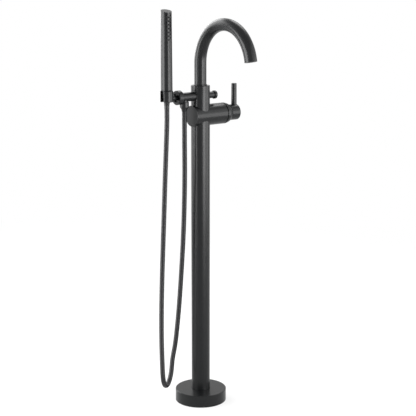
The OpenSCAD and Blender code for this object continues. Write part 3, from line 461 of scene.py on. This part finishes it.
def lathe(name, profile, sides, scale):
    # A closed turned mesh from half widths and heights
    work = bmesh.new()
    rings = []
    for r, z in profile:
        rings.append([work.verts.new((r * scale * math.cos(2 * math.pi * k / sides),
                                      r * scale * math.sin(2 * math.pi * k / sides), z * scale))
                      for k in range(sides)])
    for low, high in zip(rings, rings[1:]):
        for k in range(sides):
            m = (k + 1) % sides
            work.faces.new((low[k], low[m], high[m], high[k]))
    work.faces.new(rings[0])
    work.faces.new(rings[-1])
    bmesh.ops.recalc_face_normals(work, faces=work.faces)
    for face in work.faces:
        face.smooth = len(face.verts) == 4
    mesh = bpy.data.meshes.new(name)
    work.to_mesh(mesh)
    work.free()
    return linkMesh(name, mesh)


def makeNozzleTree():
    # Three nubs for each two rows: one in the middle, then one on each side
    tree = bpy.data.node_groups.new("nozzleRows", "GeometryNodeTree")
    tree.interface.new_socket("Geometry", in_out="OUTPUT", socket_type="NodeSocketGeometry")
    tree.interface.new_socket("Nub", in_out="INPUT", socket_type="NodeSocketObject")
    tree.interface.new_socket("Rows", in_out="INPUT", socket_type="NodeSocketInt")
    for name in ("Pitch", "Middle Height", "Step", "Turn", "Face Radius", "Taper", "Axis X"):
        tree.interface.new_socket(name, in_out="INPUT", socket_type="NodeSocketFloat")
    tree.interface.new_socket("Material", in_out="INPUT", socket_type="NodeSocketMaterial")
    given = addNode(tree, "NodeGroupInput").outputs
    index = addNode(tree, "GeometryNodeInputIndex")
    third = addNode(tree, "ShaderNodeMath", {0: index.outputs[0], 1: 3.0}, operation="DIVIDE")
    pair = addNode(tree, "ShaderNodeMath", {0: third.outputs[0]}, operation="FLOOR")
    inTrio = addNode(tree, "ShaderNodeMath", {0: index.outputs[0], 1: 3.0}, operation="MODULO")
    outer = addNode(tree, "ShaderNodeMath", {0: inTrio.outputs[0], 1: 1.0}, operation="MINIMUM")
    row = addNode(tree, "ShaderNodeMath", {0: pair.outputs[0], 1: 2.0, 2: outer.outputs[0]},
                  operation="MULTIPLY_ADD")
    hand = addNode(tree, "ShaderNodeMath", {0: inTrio.outputs[0], 1: 2.0, 2: -3.0},
                   operation="MULTIPLY_ADD")
    side = addNode(tree, "ShaderNodeMath", {0: hand.outputs[0], 1: outer.outputs[0]},
                   operation="MULTIPLY")
    angle = addNode(tree, "ShaderNodeMath", {
        0: side.outputs[0], 1: given["Step"], 2: given["Turn"]}, operation="MULTIPLY_ADD")
    middle = addNode(tree, "ShaderNodeMath", {0: given["Rows"], 1: 0.5, 2: -0.5},
                     operation="MULTIPLY_ADD")
    rowsUp = addNode(tree, "ShaderNodeMath", {0: row.outputs[0], 1: middle.outputs[0]},
                     operation="SUBTRACT")
    rise = addNode(tree, "ShaderNodeMath", {0: rowsUp.outputs[0], 1: given["Pitch"]},
                   operation="MULTIPLY")
    narrower = addNode(tree, "ShaderNodeMath", {0: rise.outputs[0], 1: given["Taper"]},
                       operation="MULTIPLY")
    inwards = addNode(tree, "ShaderNodeMath", {0: narrower.outputs[0], 1: given["Face Radius"]},
                      operation="SUBTRACT")
    ahead = addNode(tree, "ShaderNodeCombineXYZ", {"Y": inwards.outputs[0]})
    outwards = addNode(tree, "ShaderNodeVectorRotate", {
        "Vector": ahead.outputs[0], "Angle": angle.outputs[0]}, rotation_type="Z_AXIS")
    height = addNode(tree, "ShaderNodeMath", {0: given["Middle Height"], 1: rise.outputs[0]},
                     operation="ADD")
    onAxis = addNode(tree, "ShaderNodeCombineXYZ", {"X": given["Axis X"], "Z": height.outputs[0]})
    place = addNode(tree, "ShaderNodeVectorMath", {0: onAxis.outputs[0], 1: outwards.outputs[0]},
                    operation="ADD")
    count = addNode(tree, "ShaderNodeMath", {0: given["Rows"], 1: 1.5}, operation="MULTIPLY")
    points = addNode(tree, "GeometryNodePoints", {
        "Count": count.outputs[0], "Position": place.outputs[0]})
    turn = addNode(tree, "FunctionNodeAlignRotationToVector", {"Vector": outwards.outputs[0]},
                   axis="Z")
    nub = addNode(tree, "GeometryNodeObjectInfo", {"Object": given["Nub"]})
    rows = addNode(tree, "GeometryNodeInstanceOnPoints", {
        "Points": points.outputs[0], "Instance": nub.outputs["Geometry"],
        "Rotation": turn.outputs[0]})
    real = addNode(tree, "GeometryNodeRealizeInstances", {"Geometry": rows.outputs[0]})
    done = addNode(tree, "GeometryNodeSetMaterial", {
        "Geometry": real.outputs[0], "Material": given["Material"]})
    addNode(tree, "NodeGroupOutput", {"Geometry": done.outputs[0]})
    return tree


def makeNozzles(values):
    nub = lathe("nozzleNub", values["profile"], values["sides"], 0.001)
    source = linkMesh("nozzleSource", bpy.data.meshes.new("nozzleSource"))
    modifier = source.modifiers.new("rows", "NODES")
    modifier.node_group = makeNozzleTree()
    setInputs(modifier, {
        "Nub": nub, "Rows": values["rows"], "Pitch": values["pitch"],
        "Middle Height": values["middleHeight"], "Step": math.radians(values["step"]),
        "Turn": math.radians(values["turn"]),
        "Face Radius": values["faceRadius"], "Taper": values["taper"],
        "Axis X": values["axisX"], "Material": moulded["siliconeRubber"],
    })
    nozzles = plainMesh(source, "nozzles")
    bpy.data.objects.remove(nub)
    return nozzles


nozzles = makeNozzles(nozzleValues)
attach(nozzles, "hand_shower")
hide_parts("spray_nozzles")
print("nozzles made,", len(nozzles.data.polygons), "faces")

# The diverter's return spring shortens as the knob is pulled, so it is a piece of its own
springValues = {
    "axisHeight": 0.855,
    "movingEnd": 0.0201,   # against the spindle's collar
    "fixedEnd": 0.0379,    # against the bonnet
    "coilRadius": 0.0048,
    "wire": 0.0012,
    "turns": 6,
    "stepsPerTurn": 24,
    "roundness": 2,        # bevel resolution of the wire
}


def makeSpring(values):
    # A round wire wound along X
    wireRadius = values["wire"] / 2
    run = values["fixedEnd"] - values["movingEnd"] - values["wire"]
    steps = values["turns"] * values["stepsPerTurn"]
    line = []
    for k in range(steps + 1):
        angle = 2 * math.pi * k / values["stepsPerTurn"]
        line.append((values["movingEnd"] + wireRadius + run * k / steps,
                     values["coilRadius"] * math.cos(angle),
                     values["axisHeight"] + values["coilRadius"] * math.sin(angle)))
    source = lineObject("returnSpringLine", line)
    source.data.bevel_depth = wireRadius
    source.data.bevel_resolution = values["roundness"]
    source.data.use_fill_caps = True
    spring = plainMesh(source, "returnSpring")
    spring.data.materials.append(metals["turnedStainless"])
    return spring


returnSpring = makeSpring(springValues)
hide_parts("diverter_spring")
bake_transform(returnSpring)
print("return spring made,", len(returnSpring.data.polygons), "faces")

# Finishes of the pieces that come from the solids
paint(["floor_flange", "riser_tube", "valve_body", "end_cap", "dome_cover", "handle_hub",
       "lever_rod", "collar_nut", "foot_ring", "spout_tube", "aerator_shell", "diverter_bonnet",
       "diverter_knob", "holder_arm", "outlet_nipple", "outlet_nut", "knuckle", "knuckle_ring",
       "cradle", "wand_nut", "wand_body", "spray_face", "wand_cap"], powderCoat)
paint(["base_plate", "base_set_screws", "cold_supply_tube", "hot_supply_tube", "stem_pin",
       "lever_stem", "hub_set_screw", "stop_screw"], metals["turnedStainless"])
paint(["cold_connector", "hot_connector", "inlet_nuts", "cartridge_nut", "spout_tail",
       "diverter_spindle"], metals["machinedBrass"])
paint(["floor_pad", "flange_seal", "inlet_seals", "end_cap_seal", "port_seals", "tail_seals",
       "diverter_seal", "outlet_washer", "cradle_liner", "wand_washer"], moulded["epdmRubber"])
paint(["cartridge_housing", "stem_carrier", "spout_washer", "outlet_check_valve", "wand_core"],
      moulded["acetalPlastic"])
# Near-black and dull: a black plastic insert whose colour also paints the shade in the spout's
# mouth
paint(["aerator_insert"], moulded["blackAcetalMouthShade"])
paint(["fixed_disc", "turning_disc"], moulded["aluminaCeramic"])
print("solids finished")

# Studio: white paper floor and white sky to the camera, tall soft boxes on the object
studioValues = {
    "sky": 0.12,
    "paper": "#F2F2F2",
    "paperRoughness": 0.9,
    "paperGloss": 0.2,
    "paperReach": 14.0,      # metres from the object to the paper's edges
    "paperGlow": 0.72,       # share of plain white that the camera sees in it near the object
    "glowFrom": 0.9,         # metres from the object where it starts to turn all white
    "glowTo": 2.4,
    "lamps": [
        # name, place, aim, width, height, watts
        ("rightBox", (0.43, -2.57, 0.62), (0, 0, 0.62), 1.4, 1.2, 66),
        ("sideBox", (1.92, -1.76, 0.72), (0, 0, 0.72), 1.8, 1.4, 38),
        ("leftBox", (-2.31, 0.64, 0.86), (0, 0, 0.86), 2.1, 1.65, 118),
        ("limbBox", (-0.70, 2.45, 0.42), (0, 0, 0.42), 1.0, 0.8, 6),
        ("backBox", (-0.34, 2.43, 1.85), (0, 0, 1.0), 3.0, 2.2, 104),
        ("topBox", (1.28, 0.74, 2.84), (0, 0, 0.95), 1.3, 1.3, 24),
        ("highBox", (1.50, -2.15, 2.05), (0, 0, 0.8), 4.0, 1.7, 32),
    ],
}
plainWhite = (1, 1, 1, 1)


def seenDirectly(tree):
    # 1 for what the camera sees, also in a reflection or through glass, and 0 for plain light
    ray = addNode(tree, "ShaderNodeLightPath").outputs
    clear = addNode(tree, "ShaderNodeMath", {
        0: ray["Is Camera Ray"], 1: ray["Is Transmission Ray"]}, operation="MAXIMUM")
    return addNode(tree, "ShaderNodeMath", {
        0: clear.outputs[0], 1: ray["Is Glossy Ray"]}, operation="MAXIMUM").outputs[0]


def makeWorld(values):
    world = bpy.data.worlds.new("studioSky")
    world.use_nodes = True
    scene.world = world
    tree = world.node_tree
    tree.nodes.clear()
    light = addNode(tree, "ShaderNodeBackground", {
        "Color": plainWhite, "Strength": values["sky"]})
    white = addNode(tree, "ShaderNodeBackground", {"Color": plainWhite, "Strength": 1.0})
    mix = addNode(tree, "ShaderNodeMixShader", {
        0: seenDirectly(tree), 1: light.outputs[0], 2: white.outputs[0]})
    addNode(tree, "ShaderNodeOutputWorld", {"Surface": mix.outputs[0]})


def makeFloor(values):
    mesh = bpy.data.meshes.new("studioFloor")
    reach = values["paperReach"]
    corners = [(-reach, -reach, 0), (reach, -reach, 0), (reach, reach, 0), (-reach, reach, 0)]
    mesh.from_pydata(corners, [], [(0, 1, 2, 3)])
    floor = linkMesh("studioFloor", mesh)
    material, tree, shader = newMaterial("whitePaper")
    shader.inputs["Base Color"].default_value = hexToLinear(values["paper"])
    shader.inputs["Roughness"].default_value = values["paperRoughness"]
    shader.inputs["Specular IOR Level"].default_value = values["paperGloss"]
    place = addNode(tree, "ShaderNodeTexCoord").outputs["Object"]
    away = addNode(tree, "ShaderNodeVectorMath", {0: place}, operation="LENGTH")
    share = addNode(tree, "ShaderNodeMapRange", {
        "Value": away.outputs["Value"], "From Min": values["glowFrom"],
        "From Max": values["glowTo"], "To Min": values["paperGlow"], "To Max": 1.0},
        interpolation_type="SMOOTHSTEP")
    glow = addNode(tree, "ShaderNodeMath", {0: share.outputs[0], 1: seenDirectly(tree)},
                   operation="MULTIPLY")
    white = addNode(tree, "ShaderNodeEmission", {"Color": plainWhite, "Strength": 1.0})
    mix = addNode(tree, "ShaderNodeMixShader", {
        0: glow.outputs[0], 1: shader.outputs["BSDF"], 2: white.outputs[0]})
    output = next(n for n in tree.nodes if n.type == "OUTPUT_MATERIAL")
    tree.links.new(mix.outputs[0], output.inputs["Surface"])
    mesh.materials.append(material)


def makeLamps(values):
    for name, place, aim, width, height, watts in values["lamps"]:
        data = bpy.data.lights.new(name, "AREA")
        data.shape = "RECTANGLE"
        data.size, data.size_y, data.energy = width, height, watts
        lamp = bpy.data.objects.new(name, data)
        lamp.location = place
        lamp.rotation_euler = (Vector(aim) - Vector(place)).to_track_quat("-Z", "Y").to_euler()
        lamp.visible_camera = False
        scene.collection.objects.link(lamp)


makeWorld(studioValues)
makeFloor(studioValues)
makeLamps(studioValues)
scene.view_settings.view_transform = "Standard"
print("studio made")
